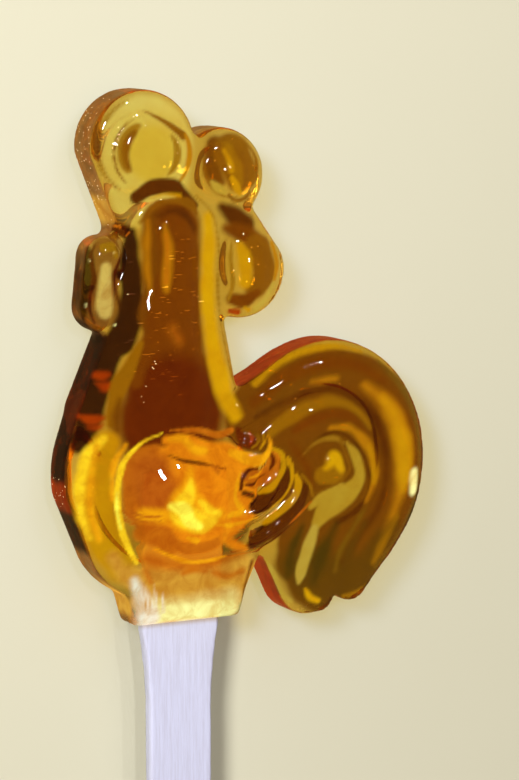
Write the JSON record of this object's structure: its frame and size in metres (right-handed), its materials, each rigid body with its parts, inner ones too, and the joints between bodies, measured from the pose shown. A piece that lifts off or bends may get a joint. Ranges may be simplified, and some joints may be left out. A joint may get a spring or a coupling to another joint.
{
  "type": "lollipop",
  "caption": "Clear amber boiled-sugar lollipop cast as a cockerel, with a lobed comb, wattle, wing and ridged tail, on a flat wooden stick. It lies on its back.",
  "frame": {"origin": "middle of the box's underside: the lollipop lies on z = 0 on the flat spots of its back", "axes": "+X from the cockerel's breast to its tail, +Y from the stick to the comb, +Z out of the shown face"},
  "size_m": [0.0518, 0.165, 0.0121],
  "materials": {
    "sugar": "clear amber cast sugar, glossy, with small bubbles",
    "birch": "bare, smooth, pale birch"
  },
  "bodies": {
    "root": {"candy": "sugar", "stick": "birch"}
  },
  "joints": []
}
